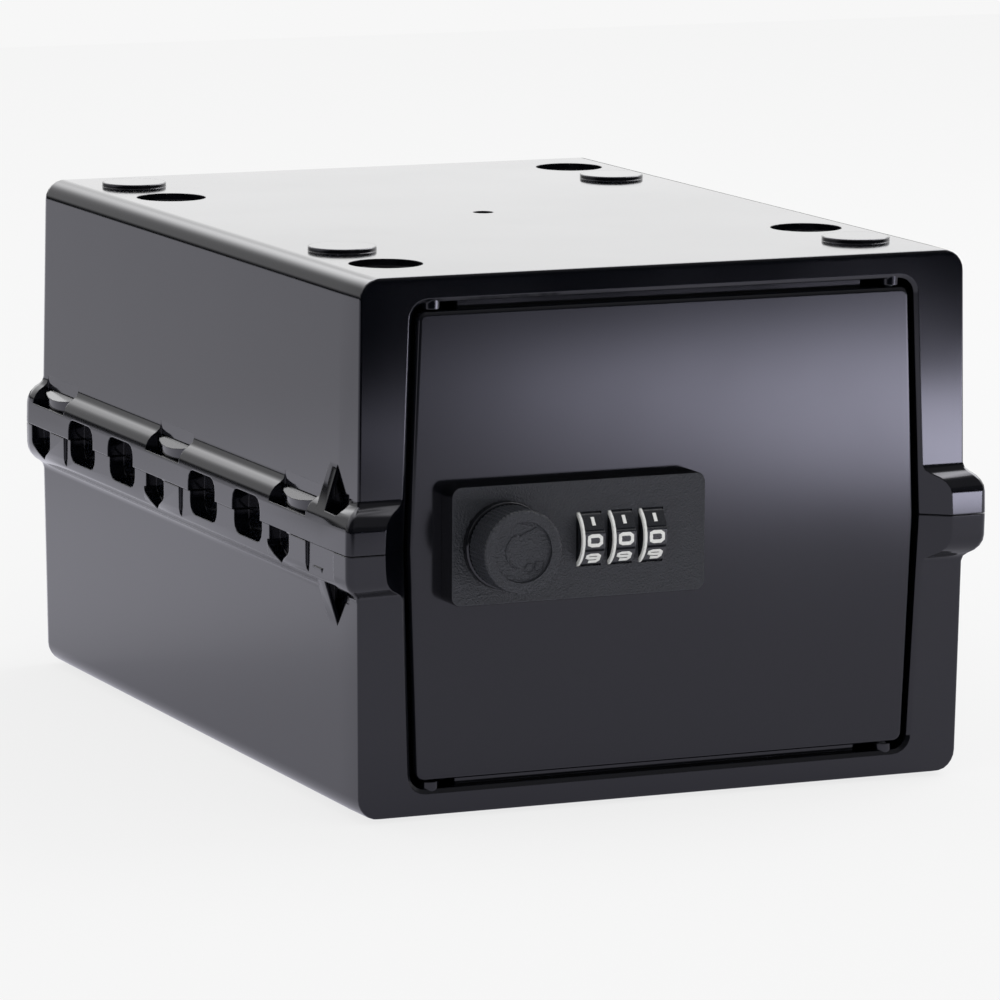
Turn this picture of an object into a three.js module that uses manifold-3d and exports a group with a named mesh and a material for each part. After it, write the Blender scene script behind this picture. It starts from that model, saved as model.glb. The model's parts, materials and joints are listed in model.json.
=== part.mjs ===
import * as THREE from 'three';
import { mergeVertices } from 'three/addons/utils/BufferGeometryUtils.js';
import Module from 'manifold-3d';

// A lockable storage box in moulded plastic: two half shells that meet at a belt, a six-sided
// door in the front, and a combination lock with a turning knob and three number wheels.
// Millimetres, X to the right, Y to the back, Z up. While the box is built, Y = 0 is the front
// face at mid height and Z = 0 is the seam. The outer group moves it to its reference point.

const wasm = await Module();
wasm.setup();

// Clearances
const seat_gap = 0.1;
const joint_gap = 0.2;
const seam_gap = 0.3;
const running_gap = 0.1;
const slip_gap = 0.35;

// How far a cutter runs past the surface that it opens, and a joined piece into its neighbour
const overrun = 1;

// Body of one half shell
const body_width = 200;
const body_depth = 275.6;
const half_height = 80.25;
const draft = 1.1;
const wall = 3;
const edge_radius = 6.4;
const front_edge_radius = 1;
const front_draw = 0.4;
const front_draw_length = 15;
const front_corner_radius = 0.8;
const belt_corner_radius = 2.2;
const least_corner_radius = 0.4;

// Belt round the seam
const belt_proud = 5.3;
const belt_flat = 6.7;
const belt_crown_radius = 6.5;
const belt_root_radius = 3;

// Door opening in the front frame
const frame_side = 15.2;
const frame_top = 7.85;
const opening_half_width = body_width / 2 - frame_side;
const opening_half_height = half_height - frame_top;
const opening_slope = 2.5 / 62;
const opening_corner_radius = 5;
const chamfer_width = 1.2;
const chamfer_depth = 0.9;
const lip_wall = 2.6;
const lip_back = 9;
const stop_reach = 5;
const stop_wall = 2.4;
const stop_pin_gap = 9;

// Clip pockets, notches and windows in the belt
const clip_first = 41.7;
const clip_pitch = 104.6;
const clip_count = 3;
const pocket_length = 29;
const pocket_lip_height = 7.2;
const pocket_lip_wall = 1.3;
const pocket_wall_inset = 0.25;
const tongue_height = 12;
const tongue_edge = 0.6;
const tongue_tip_drop = 1.8;
const notch_length = 17.7;
const notch_depth = 4.3;
const notch_straight = 6;
const notch_point = 10.4;
const notch_offset = 6.6;
const notch_radius = 2.5;
const panel_step = 0.75;
const panel_lead = 15.2;
const panel_height = 10.2;
const panel_radius = 3;
const window_length = 23;
const window_half_height = 7;
const window_depth = 5.6;
const window_radius = 4;
const window_places = [74.4, 111.7, 183.1, 219.8];

// Gussets behind the front corners, each with a pocket in the wall before it
const gusset_front = 15.2;
const gusset_thickness = 6.4;
const gusset_top = 24;
const gusset_rim = 1.3;
const gusset_inset = 0.3;
const gusset_hollow_depth = 4;
const gusset_pocket_depth = 1.2;
const gusset_pocket_front = 8;
const corner_recess_front = 5.5;
const corner_recess_floor = 9;
const corner_recess_wall = 1.6;
const corner_recess_radius = 1.4;

// Stacking studs and recesses
const stud_column = 77.6;
const stud_outer_row = 105.9;
const stud_inner_row = 72;
const stud_radius = 10.4;
const stud_height = 1.4;
const stud_edge_round = 0.3;
const recess_clearance = 0.7;
const recess_depth = stud_height + 0.8;
const pad_wall = 2;
const pad_floor = 2.5;
const gate_radius = 3.25;
const gate_depth = 1.5;
const round_sides = 26;

// Door
const door_face = 1;
const door_side_gap = 1.7;
const door_top_gap = 2.5;
const door_skin = 2.6;
const door_thickness = 4.4;
const door_rim_wall = 2.4;
const door_edge_round = 1.5;
const door_corner_radius = 2.8;
const pin_radius = 1.25;
const pin_inset = 9.8;
const pin_axis_x = opening_half_width - pin_inset;
const pin_axis_y = 4.2;
const pin_door_grip = 13;
const pin_shell_grip = 4.6;
const pin_end_gap = 0.3;
const hinge_boss_wall = 2.3;
const hinge_boss_length = 15.4;
const hinge_seat_wall = 1.6;

// Lock faceplate
const plate_width = 82;
const plate_height = 35.5;
const plate_depth = 7.6;
const plate_radius = 3;
const plate_edge_round = 0.6;
const plate_x = -31.6;
const lock_z = 0.9;
const plate_skin = 1.2;

// Number wheels
const dial_places = [-28.7, -18.65, -8.6];
const dial_width = 7.3;
const dial_radius = 9.4;
const dial_facets = 10;
const dial_inset = 5.5;
const dial_groove = 0.5;
const dial_window_width = 8;
const dial_window_height = 16.3;
const dial_side_gap = 0.45;
const dial_rim_rise = 0.2;
const dial_swing_gap = 0.25;
const wheel_room_gap = 0.6;
const axle_radius = 1.5;
const axle_seat = 3;
const sleeve_radius = 3.9;
const sleeve_width = 1.7;
const sleeve_notch = 1;

// Knob, spindle and cam
const knob_x = -56;
const knob_radius = 12.5;
const knob_front = -21;
const knob_back = -9.9;
const knob_teeth = 56;
const knob_tooth_depth = 0.35;
const knob_edge = 0.4;
const knob_face_recess = 0.8;
const knob_rim_width = 3.4;
const knob_socket_depth = 7;
const collar_radius = 13.2;
const collar_front = -9.6;
const collar_edge_round = 0.9;
const spindle_radius = 4;
const spindle_square = 5.6;
const cam_gap = 1;
const cam_thickness = 2.5;
const cam_width = 14;
const cam_reach = 36;
const cam_crank = 5.6;
const cam_crank_radius = 23;
const cam_crank_run = 4.2;
const cam_tip_part = 0.75;
const cam_tip_radius = 3;
const washer_radius = 5.5;
const washer_thickness = 0.8;
const cam_screw_radius = 1.9;
const cam_screw_head_radius = 3.8;
const cam_screw_head = 2.2;
const cam_screw_length = 9;
const screw_tip_room = 0.4;

// Housing, bar, spring, screws and code lever behind the door
const housing_wall = 1.6;
const housing_back = 14;
const housing_half_height = 14.5;
const housing_left = -65.4;
const housing_right = 1.8;
const flange_length = 6.2;
const flange_thickness = 2.5;
const flange_half_height = 6;
const flange_radius = 3;
const housing_radius = 2;
const screw_radius = 1.4;
const screw_head_radius = 2.9;
const screw_head_height = 2;
const screw_length = 10;
const bar_thickness = 1.8;
const bar_height = 7;
const bar_gap = 0.5;
const bar_eye_wall = 3;
const finger_part = 0.75;
const spring_thickness = 0.4;
const spring_width = 4;
const spring_fold_width = 3;
const spring_fold_gap = 0.9;
const lever_length = 13;
const lever_width = 4;
const lever_thickness = 1.6;
const lever_pivot_radius = 1.5;
const lever_inset = 9;
const lever_drop = 4.2;
const lever_tab_length = 1.4;
const lever_tab_inset = 0.8;
const lever_tab_height = 2;

// Plain solids

function solidOf(geometry) {
  const bare = new THREE.BufferGeometry();
  bare.setAttribute('position', geometry.getAttribute('position').clone());
  if (geometry.index) bare.setIndex(geometry.index.clone());
  const merged = mergeVertices(bare, 1e-5);
  const mesh = new wasm.Mesh({
    numProp: 3,
    vertProperties: new Float32Array(merged.getAttribute('position').array),
    triVerts: new Uint32Array(merged.index.array),
  });
  return new wasm.Manifold(mesh);
}

function geometryOf(solid) {
  const mesh = solid.getMesh();
  const geometry = new THREE.BufferGeometry();
  geometry.setAttribute('position', new THREE.BufferAttribute(new Float32Array(mesh.vertProperties), 3));
  geometry.setIndex(new THREE.BufferAttribute(new Uint32Array(mesh.triVerts), 1));
  geometry.computeVertexNormals();
  return geometry;
}

// Joins rings of equal length into a closed solid. Each end is closed by a fan round its middle,
// so an end ring has to be star-shaped. Rings may run either way.
function loft(rings) {
  const count = rings[0].length;
  const points = rings.flat();
  const faces = [];
  for (let level = 0; level + 1 < rings.length; level += 1) {
    for (let step = 0; step < count; step += 1) {
      const a = level * count + step;
      const b = level * count + (step + 1) % count;
      faces.push([a, b, b + count], [a, b + count, a + count]);
    }
  }
  const middle = (ring) => [0, 1, 2].map((axis) => {
    const values = ring.map((point) => point[axis]);
    return (Math.min(...values) + Math.max(...values)) / 2;
  });
  const last = (rings.length - 1) * count;
  const first_middle = points.push(middle(rings[0])) - 1;
  const last_middle = points.push(middle(rings[rings.length - 1])) - 1;
  for (let step = 0; step < count; step += 1) {
    const next = (step + 1) % count;
    faces.push([first_middle, next, step]);
    faces.push([last_middle, last + step, last + next]);
  }
  let volume = 0;
  for (const [a, b, c] of faces) {
    const [p, q, r] = [points[a], points[b], points[c]];
    volume += p[0] * (q[1] * r[2] - q[2] * r[1])
      - p[1] * (q[0] * r[2] - q[2] * r[0])
      + p[2] * (q[0] * r[1] - q[1] * r[0]);
  }
  const outward = volume > 0 ? faces : faces.map(([a, b, c]) => [a, c, b]);
  const geometry = new THREE.BufferGeometry();
  geometry.setAttribute('position', new THREE.Float32BufferAttribute(points.flat(), 3));
  geometry.setIndex(outward.flat());
  return solidOf(geometry);
}

function slab(x, y, z) {
  const geometry = new THREE.BoxGeometry(x[1] - x[0], y[1] - y[0], z[1] - z[0]);
  geometry.translate((x[0] + x[1]) / 2, (y[0] + y[1]) / 2, (z[0] + z[1]) / 2);
  return solidOf(geometry);
}

// Places a point of a flat outline in space: the outline lies across the named axis.
function lay(axis, point, along) {
  const [u, v] = point;
  if (axis === 'x') return [along, u, v];
  if (axis === 'y') return [u, along, v];
  return [u, v, along];
}

// A prism along an axis.
function prism(axis, outline, from, to) {
  return loft([from, to].map((along) => outline.map((point) => lay(axis, point, along))));
}

function circle(radius, centre = [0, 0], sides = 24, turn = 0) {
  return Array.from({ length: sides }, (unused, step) => {
    const angle = turn + (2 * Math.PI * step) / sides;
    return [centre[0] + radius * Math.cos(angle), centre[1] + radius * Math.sin(angle)];
  });
}

function rod(axis, radius, centre, from, to, sides = 24) {
  return prism(axis, circle(radius, centre, sides), from, to);
}

// A rod turned from [radius, along] pairs.
function turned(axis, profile, centre, sides = 24) {
  return loft(profile.map(([radius, along]) => (
    circle(radius, centre, sides).map((point) => lay(axis, point, along))
  )));
}

// The rings of a plate's rounded front edge: ringAt takes how far out it lies, and its depth.
function frontRound(ringAt, front, round, steps) {
  return Array.from({ length: steps + 1 }, (unused, step) => {
    const angle = (Math.PI / 2) * (step / steps);
    return ringAt(-round * (1 - Math.sin(angle)), front + round * (1 - Math.cos(angle)));
  });
}

// A corner is rounded by a little less than half its edge, so that no edge shrinks to nothing.
const nearly_whole = 0.96;

// Rounds the corners of an outline: radii has one value for each point, and steps has one
// value for all corners or one for each.
function rounded(points, radii, corner_steps = 5) {
  const outline = [];
  points.forEach((point, index) => {
    const radius = radii[index];
    const steps = Array.isArray(corner_steps) ? corner_steps[index] : corner_steps;
    const here = new THREE.Vector2(...point);
    if (!radius) {
      outline.push(point);
      return;
    }
    const towards = (other) => new THREE.Vector2(...points[other % points.length]).sub(here).normalize();
    const before = towards(index + points.length - 1);
    const after = towards(index + 1);
    const half = Math.acos(THREE.MathUtils.clamp(before.dot(after), -1, 1)) / 2;
    const reach = radius / Math.tan(half);
    const inwards = before.clone().add(after).normalize();
    const centre = here.clone().addScaledVector(inwards, radius / Math.sin(half));
    const start = here.clone().addScaledVector(before, reach).sub(centre);
    const end = here.clone().addScaledVector(after, reach).sub(centre);
    const sweep = Math.atan2(start.x * end.y - start.y * end.x, start.dot(end));
    for (let step = 0; step <= steps; step += 1) {
      const spot = start.clone().rotateAround(new THREE.Vector2(), (sweep * step) / steps).add(centre);
      outline.push([spot.x, spot.y]);
    }
  });
  return outline;
}

function roundedBox(u, v, radius, steps = 5) {
  return rounded([[u[0], v[0]], [u[1], v[0]], [u[1], v[1]], [u[0], v[1]]], Array(4).fill(radius), steps);
}

const join = (first, ...others) => others.reduce((total, solid) => total.add(solid), first);
const cut = (first, ...others) => others.reduce((total, solid) => total.subtract(solid), first);

// Half shell

const lean = (z) => (draft * Math.abs(z)) / half_height;

// How far a rounded edge has drawn in at height z.
function drawIn(radius, z) {
  const rise = Math.max(0, z - (half_height - radius));
  return radius - Math.sqrt(Math.max(0, radius * radius - rise * rise));
}

const belt_curve = belt_crown_radius + belt_root_radius;
const belt_sweep = Math.acos((belt_curve - belt_proud) / belt_curve);
const belt_foot = belt_flat + belt_curve * Math.sin(belt_sweep);
const crown_steps = 4;
const root_steps = 2;
const edge_steps = 6;

// The belt's S-shaped edge as [height, how proud] pairs, from its flat to its foot.
function beltProfile() {
  const profile = [];
  for (let step = 0; step <= crown_steps; step += 1) {
    const angle = (belt_sweep * step) / crown_steps;
    profile.push([
      belt_flat + belt_crown_radius * Math.sin(angle),
      belt_proud - belt_crown_radius * (1 - Math.cos(angle)),
    ]);
  }
  for (let step = 1; step <= root_steps; step += 1) {
    const angle = belt_sweep * (1 - step / root_steps);
    profile.push([belt_foot - belt_root_radius * Math.sin(angle), belt_root_radius * (1 - Math.cos(angle))]);
  }
  return profile;
}

// One level of the outside of the shell, standing proud of the wall by the belt's amount.
function shellRing(z, proud) {
  const inset = drawIn(edge_radius, z);
  const side = body_width / 2 - lean(z) - inset + proud;
  const front_side = side - front_draw;
  const front = lean(z) + drawIn(front_edge_radius, z) - proud;
  const back = body_depth - lean(z) - inset + proud;
  const back_radius = Math.max(edge_radius - inset, least_corner_radius) + proud;
  const corner_growth = (belt_corner_radius - front_corner_radius) / belt_proud;
  const corner = front_corner_radius + corner_growth * proud;
  const outline = rounded(
    [
      [-front_side, front], [front_side, front], [side, front_draw_length],
      [side, back], [-side, back], [-side, front_draw_length],
    ],
    [corner, corner, 0, back_radius, back_radius, 0],
    [3, 3, 0, 5, 5, 0],
  );
  return outline.map(([x, y]) => [x, y, z]);
}

// The door opening's outline, grown by an offset, from just under the seam to the top.
function openingOutline(offset, below = overrun) {
  const half = opening_half_width + offset;
  const top = opening_half_height + offset;
  const top_half = half - opening_slope * top;
  const radius = opening_corner_radius + offset;
  return rounded(
    [[-half, -below], [half, -below], [half, 0], [top_half, top], [-top_half, top], [-half, 0]],
    [0, 0, 0, radius, radius, 0],
  );
}

function clipPlaces() {
  return Array.from({ length: clip_count }, (unused, index) => clip_first + index * clip_pitch);
}

// Cutter along X for a feature on one side of the shell: side is -1 or 1.
function sideCut(side, outline, from, to) {
  return prism('x', outline, side * from, side * to);
}

function stud(x, y) {
  const top = half_height + stud_height;
  return turned('z', [
    [stud_radius, half_height - overrun],
    [stud_radius, top - stud_edge_round],
    [stud_radius - stud_edge_round, top],
  ], [x, y], round_sides);
}

function makeShell() {
  const wall_x = body_width / 2;
  const belt_x = wall_x + belt_proud;
  const seam = seam_gap / 2;
  const outside_side = belt_x + overrun;

  const levels = [[seam, belt_proud]].concat(beltProfile());
  for (let step = 0; step <= edge_steps; step += 1) {
    const angle = (Math.PI / 2) * (step / edge_steps);
    levels.push([half_height - edge_radius * (1 - Math.sin(angle)), 0]);
  }
  let shell = loft(levels.map(([z, proud]) => shellRing(z, proud)));

  // Inside: the cavity, less the lip round the opening and the pads under the recesses
  const cavityRing = (z, inset) => {
    const side = wall_x - lean(z) - wall - inset;
    const front = wall + lean(z);
    const back = body_depth - lean(z) - wall - inset;
    const radius = edge_radius - wall;
    return rounded([[-side, front], [side, front], [side, back], [-side, back]], [0, 0, radius, radius])
      .map(([x, y]) => [x, y, z]);
  };
  const ceiling = half_height - wall;
  const cavity = loft([cavityRing(-overrun, 0), cavityRing(ceiling - wall, 0), cavityRing(ceiling, wall)]);
  const lip_top_half = opening_half_width - opening_slope * opening_half_height + lip_wall;
  const lip = join(
    prism('y', openingOutline(lip_wall, 2 * overrun), wall - overrun, lip_back),
    slab(
      [-lip_top_half, lip_top_half],
      [wall - overrun, lip_back],
      [opening_half_height, half_height - overrun],
    ),
  );
  const depth_middle = body_depth / 2;
  const columns = [-1, 1];
  const stud_spots = columns.flatMap((side) => [
    [side * stud_column, depth_middle - side * stud_outer_row],
    [side * stud_column, depth_middle + side * stud_inner_row],
  ]);
  const recess_spots = columns.flatMap((side) => [
    [side * stud_column, depth_middle + side * stud_outer_row],
    [side * stud_column, depth_middle - side * stud_inner_row],
  ]);
  const recess_radius = stud_radius + recess_clearance;
  const pads = recess_spots.map(([x, y]) => rod(
    'z',
    recess_radius + pad_wall,
    [x, y],
    half_height - recess_depth - pad_floor,
    half_height - overrun,
    16,
  ));
  shell = cut(shell, cut(cavity, lip, ...pads));

  // The opening, with a chamfer that also bevels the belt's front ends
  const chamfer_lead = belt_proud + overrun;
  const chamfer_growth = (chamfer_width * (chamfer_depth + chamfer_lead)) / chamfer_depth;
  const leaning = (outline, y) => outline.map(([x, z]) => [x, y + lean(z), z]);
  const chamfer = loft([
    leaning(openingOutline(chamfer_growth), -chamfer_lead),
    leaning(openingOutline(0), chamfer_depth),
  ]);
  const opening = prism('y', openingOutline(0), -chamfer_lead, lip_back + overrun);
  shell = cut(shell, chamfer, opening);

  // What the door's rim closes against, and the seats that the door turns between
  const stop_front = door_face + door_thickness + slip_gap;
  const stop_half_length = pin_axis_x - stop_pin_gap;
  const stop = slab(
    [-stop_half_length, stop_half_length],
    [stop_front, stop_front + stop_wall],
    [opening_half_height - stop_reach, opening_half_height + overrun],
  );
  const hinge_seats = [-1, 1].map((side) => rod(
    'z',
    pin_radius + hinge_seat_wall,
    [side * pin_axis_x, pin_axis_y],
    opening_half_height - door_top_gap + slip_gap,
    opening_half_height + overrun,
    20,
  ));
  shell = join(shell, stop, ...hinge_seats);

  // Belt details
  const pocket_inner = wall_x - pocket_wall_inset;
  const tongue_front = belt_x - pocket_lip_wall - slip_gap;
  const tongue_back = pocket_inner + slip_gap;
  let panel_from = corner_recess_front;
  for (const place of clipPlaces()) {
    const pocket_from = place - pocket_length / 2;
    const pocket_to = place + pocket_length / 2;
    const above_lip = [[pocket_from, pocket_lip_height], [pocket_to, pocket_lip_height],
      [pocket_to, belt_foot + overrun], [pocket_from, belt_foot + overrun]];
    const behind_lip = [[pocket_from, -overrun], [pocket_to, -overrun],
      [pocket_to, pocket_lip_height + overrun], [pocket_from, pocket_lip_height + overrun]];
    shell = cut(
      shell,
      sideCut(-1, above_lip, pocket_inner, outside_side),
      sideCut(-1, behind_lip, pocket_inner, belt_x - pocket_lip_wall),
    );

    // The matching side: a pointed notch, the shallow panel before it, and the tongue that enters
    // the pocket, whose tip slopes down to its front
    const notch_middle = place + notch_offset;
    const notch_from = notch_middle - notch_length / 2;
    const notch_to = notch_middle + notch_length / 2;
    const notch = rounded(
      [[notch_from, -overrun], [notch_to, -overrun], [notch_to, notch_straight],
        [notch_middle, notch_point], [notch_from, notch_straight]],
      [0, 0, notch_radius, 0, notch_radius],
      3,
    );
    const panel_to = place - panel_lead;
    const panel = rounded(
      [[panel_from, -overrun], [panel_to, -overrun], [panel_to, panel_height], [panel_from, panel_height]],
      [0, 0, panel_radius, 0],
      4,
    );
    panel_from = notch_to;
    shell = cut(
      shell,
      sideCut(1, notch, belt_x - notch_depth, outside_side),
      sideCut(1, panel, belt_x - panel_step, outside_side),
    );
    const tongue_half = pocket_length / 2 - slip_gap;
    const bulge = tongue_front - tongue_back - tongue_edge;
    const arc_steps = 6;
    const tongue_plan = [[tongue_back, place - tongue_half], [tongue_back, place + tongue_half]];
    for (let step = 0; step <= arc_steps; step += 1) {
      const along = 1 - (2 * step) / arc_steps;
      const reach = tongue_back + tongue_edge + bulge * (1 - along * along);
      tongue_plan.push([reach, place + along * tongue_half]);
    }
    const tongue_tip = [[tongue_back, -tongue_height], [tongue_front, tongue_tip_drop - tongue_height],
      [tongue_front, -tongue_height - overrun], [tongue_back, -tongue_height - overrun]];
    const tongue = cut(
      prism('z', tongue_plan, seam + overrun, -tongue_height),
      prism('y', tongue_tip, place - pocket_length, place + pocket_length),
    );
    shell = join(shell, tongue);
  }

  for (const side of [-1, 1]) {
    for (const place of window_places) {
      const window = roundedBox(
        [place - window_length / 2, place + window_length / 2],
        [-window_half_height, window_half_height],
        window_radius,
        3,
      );
      shell = cut(shell, sideCut(side, window, belt_x - window_depth, outside_side));
    }

    // The gusset, hollow at its front, the pocket in the wall before it and the cup at its foot
    const root = wall_x - gusset_pocket_depth;
    const foot_x = belt_x - gusset_inset;
    const tip_x = wall_x - lean(gusset_top);
    const outerAt = (z) => foot_x + ((tip_x - foot_x) * (z - belt_flat)) / (gusset_top - belt_flat);
    const hollow_floor_x = outerAt(corner_recess_floor) - gusset_rim;
    const hollow_rise = (gusset_top - corner_recess_floor) * (hollow_floor_x - root);
    const hollow_tip = corner_recess_floor + hollow_rise / (outerAt(corner_recess_floor) - tip_x);
    const gusset = prism(
      'y',
      [[side * root, belt_flat], [side * foot_x, belt_flat],
        [side * tip_x, gusset_top], [side * root, gusset_top]],
      gusset_front,
      gusset_front + gusset_thickness,
    );
    const hollow = prism(
      'y',
      [[side * root, corner_recess_floor], [side * hollow_floor_x, corner_recess_floor],
        [side * root, hollow_tip]],
      gusset_front - overrun,
      gusset_front + gusset_hollow_depth,
    );
    const pocket = sideCut(
      side,
      [[gusset_front, gusset_top], [gusset_pocket_front, belt_foot],
        [gusset_pocket_front, corner_recess_floor], [gusset_front, corner_recess_floor]],
      root,
      wall_x + gusset_inset,
    );
    const recess_x = [wall_x - gusset_pocket_depth / 2, belt_x - corner_recess_wall].map((x) => side * x);
    const corner_recess = prism(
      'z',
      rounded(
        [[recess_x[0], corner_recess_front], [recess_x[1], corner_recess_front],
          [recess_x[1], gusset_front], [recess_x[0], gusset_front]],
        [corner_recess_radius, corner_recess_radius, 0, 0],
        3,
      ),
      corner_recess_floor,
      belt_foot + overrun,
    );
    shell = cut(join(shell, gusset), hollow, pocket, corner_recess);
  }

  // Top: studs, recesses, the gate mark in the middle and the hinge holes
  shell = join(shell, ...stud_spots.map(([x, y]) => stud(x, y)));
  shell = cut(shell, ...recess_spots.map(([x, y]) => (
    rod('z', recess_radius, [x, y], half_height - recess_depth, half_height + overrun, round_sides)
  )));
  shell = cut(
    shell,
    rod('z', gate_radius, [0, depth_middle], half_height - gate_depth, half_height + overrun, 16),
  );
  const hole_radius = pin_radius + running_gap / 2;
  for (const side of [-1, 1]) {
    shell = cut(shell, rod(
      'z',
      hole_radius / Math.cos(Math.PI / 12),
      [side * pin_axis_x, pin_axis_y],
      opening_half_height - door_top_gap,
      opening_half_height + pin_shell_grip,
      12,
    ));
  }
  return shell;
}

// Door

const door_half_width = opening_half_width - door_side_gap;
const door_half_height = opening_half_height - door_top_gap;
const door_back = door_face + door_thickness;
const door_skin_back = door_face + door_skin;

function doorOutline(offset) {
  const half = door_half_width + offset;
  const top = door_half_height + offset;
  const top_half = half - opening_slope * top;
  const radius = door_corner_radius + offset;
  return rounded(
    [[half, 0], [top_half, top], [-top_half, top], [-half, 0], [-top_half, -top], [top_half, -top]],
    [0, radius, radius, 0, radius, radius],
  );
}

// Places across the lock, all from the wheels, the knob and the plate
const plate_front = door_face - seat_gap - plate_depth;
const plate_back = door_face - seat_gap;
const dial_y = plate_front + dial_inset;
const dial_z = lock_z;
const wheel_left = dial_places[0] - dial_width / 2 - dial_side_gap;
const wheel_right = dial_places[2] + dial_width / 2 + dial_side_gap + sleeve_width + seam_gap;
const wheel_room = dial_radius + wheel_room_gap;
const screw_left_x = housing_left - flange_length / 2;
const screw_right_x = housing_right + flange_length / 2;
const housing_front = door_skin_back + seat_gap;

function makeDoor() {
  const ringAt = (offset, y) => doorOutline(offset).map(([x, z]) => [x, y, z]);
  const panel = loft([...frontRound(ringAt, door_face, door_edge_round, 3), ringAt(0, door_back)]);
  const hollow = prism('y', doorOutline(-door_rim_wall), door_skin_back, door_back + overrun);
  const boss_radius = pin_radius + hinge_boss_wall;
  const boss_front = door_face + door_edge_round;
  const inside_outline = prism('y', doorOutline(0), boss_front, pin_axis_y + boss_radius + overrun);
  const bosses = [-1, 1].map((end) => {
    const reach = [door_half_height - hinge_boss_length, door_half_height].map((z) => end * z);
    const low = Math.min(...reach);
    const high = Math.max(...reach);
    return join(
      rod('z', boss_radius, [pin_axis_x, pin_axis_y], low, high, 20),
      slab([pin_axis_x - boss_radius, pin_axis_x + boss_radius], [boss_front, pin_axis_y], [low, high]),
    ).intersect(inside_outline);
  });
  let door = join(cut(panel, hollow), ...bosses);
  const hole_radius = (pin_radius + running_gap) / Math.cos(Math.PI / 12);
  for (const end of [-1, 1]) {
    door = cut(door, rod(
      'z',
      hole_radius,
      [pin_axis_x, pin_axis_y],
      end * (door_half_height - pin_door_grip - pin_end_gap),
      end * (door_half_height + overrun),
      12,
    ));
  }
  const through = [door_face - overrun, door_skin_back + overrun];
  door = cut(
    door,
    slab([wheel_left, wheel_right], through, [dial_z - wheel_room, dial_z + wheel_room]),
    rod('y', spindle_radius + slip_gap, [knob_x, lock_z], ...through, 24),
    rod('y', screw_radius + running_gap, [screw_left_x, lock_z], ...through, 12),
    rod('y', screw_radius + running_gap, [screw_right_x, lock_z], ...through, 12),
  );
  return door;
}

function makeHingePin(end) {
  const from = end * (door_half_height - pin_door_grip);
  const to = end * (opening_half_height + pin_shell_grip - pin_end_gap);
  return rod('z', pin_radius, [pin_axis_x, pin_axis_y], from, to, 12);
}

// Lock pieces

function makeFaceplate() {
  const left = plate_x - plate_width / 2;
  const right = plate_x + plate_width / 2;
  const low = lock_z - plate_height / 2;
  const high = lock_z + plate_height / 2;
  const ringAt = (offset, y) => roundedBox(
    [left - offset, right + offset],
    [low - offset, high + offset],
    plate_radius + offset,
  ).map(([x, z]) => [x, y, z]);
  let plate = loft([...frontRound(ringAt, plate_front, plate_edge_round, 2), ringAt(0, plate_back)]);
  const axle_from = wheel_left - axle_seat;
  const axle_to = wheel_right + axle_seat;
  const slot = axle_radius + running_gap;
  plate = cut(
    plate,
    slab(
      [wheel_left, wheel_right],
      [plate_front + plate_skin, plate_back + overrun],
      [dial_z - wheel_room, dial_z + wheel_room],
    ),
    slab([axle_from, axle_to], [dial_y - slot, plate_back + overrun], [dial_z - slot, dial_z + slot]),
    rod('y', spindle_radius + slip_gap, [knob_x, lock_z], plate_front - overrun, plate_back + overrun, 24),
  );
  for (const x of dial_places) {
    const window = slab(
      [x - dial_window_width / 2, x + dial_window_width / 2],
      [plate_front - overrun, plate_front + plate_skin + overrun],
      [dial_z - dial_window_height / 2, dial_z + dial_window_height / 2],
    );
    const relief = rod(
      'x',
      dial_radius + dial_rim_rise + dial_swing_gap,
      [dial_y, dial_z],
      x - dial_window_width / 2,
      x + dial_window_width / 2,
      32,
    );
    plate = cut(plate, window, relief);
  }
  for (const x of [screw_left_x, screw_right_x]) {
    const tip = housing_front + flange_thickness - screw_length - screw_tip_room;
    plate = cut(plate, rod('y', screw_radius + running_gap, [x, lock_z], tip, plate_back + overrun, 12));
  }
  return plate;
}

function makeCollar() {
  const ringAt = (offset, y) => (
    circle(collar_radius + offset, [knob_x, lock_z], 30).map(([x, z]) => [x, y, z])
  );
  const rings = frontRound(ringAt, collar_front, collar_edge_round, 2);
  return cut(
    loft([...rings, ringAt(0, plate_front - seat_gap)]),
    rod('y', spindle_radius + slip_gap, [knob_x, lock_z], collar_front - overrun, plate_front + overrun, 24),
  );
}

function makeKnob() {
  const toothed = (radius) => Array.from({ length: knob_teeth * 2 }, (unused, step) => {
    const angle = (Math.PI * step) / knob_teeth;
    const reach = radius - (step % 2 ? knob_tooth_depth : 0);
    return [knob_x + reach * Math.cos(angle), lock_z + reach * Math.sin(angle)];
  });
  const at = (radius, y) => toothed(radius).map(([x, z]) => [x, y, z]);
  const knob = loft([
    at(knob_radius - knob_edge, knob_front),
    at(knob_radius, knob_front + knob_edge),
    at(knob_radius, knob_back),
  ]);
  const face_radius = knob_radius - knob_rim_width;
  return cut(
    knob,
    rod('y', face_radius, [knob_x, lock_z], knob_front - overrun, knob_front + knob_face_recess, 32),
    rod(
      'y',
      spindle_radius + running_gap,
      [knob_x, lock_z],
      knob_back - knob_socket_depth,
      knob_back + overrun,
      24,
    ),
  );
}

// Along the spindle, towards the back
const cam_hub_front = housing_back + cam_gap;
const cam_hub_back = cam_hub_front + cam_thickness;
const washer_front = cam_hub_back + seat_gap;
const washer_back = washer_front + washer_thickness;
const cam_head_front = washer_back + seat_gap;

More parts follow.
